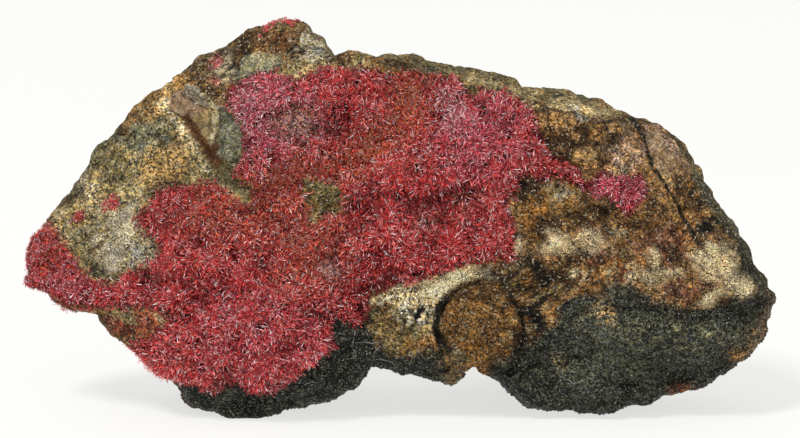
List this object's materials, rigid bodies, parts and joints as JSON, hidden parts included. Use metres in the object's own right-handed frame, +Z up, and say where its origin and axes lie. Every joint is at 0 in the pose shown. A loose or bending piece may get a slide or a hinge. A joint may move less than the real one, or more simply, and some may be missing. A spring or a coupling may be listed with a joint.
{
  "type": "erythrite mineral specimen",
  "caption": "Broken piece of dark vein rock that stands on two feet, its leaning face crusted with crimson needle crystals.",
  "frame": {"origin": "bottom centre of the bounding box, in the plane of the two feet", "axes": "+X along the specimen's width to the viewer's right, -Y towards the viewer of the display face, +Z up"},
  "size_m": [0.1121, 0.0383, 0.0583],
  "materials": {
    "vein_rock": "dull broken rock, tan to brown above and granular black at the feet",
    "erythrite_needles": "felt of fine crimson needles with a glassy sparkle"
  },
  "bodies": {
    "root": {"matrix_rock": "vein_rock", "erythrite_crust": "erythrite_needles", "erythrite_summit_strip": "erythrite_needles", "erythrite_upper_tuft": "erythrite_needles", "erythrite_lower_tuft": "erythrite_needles"}
  },
  "joints": []
}
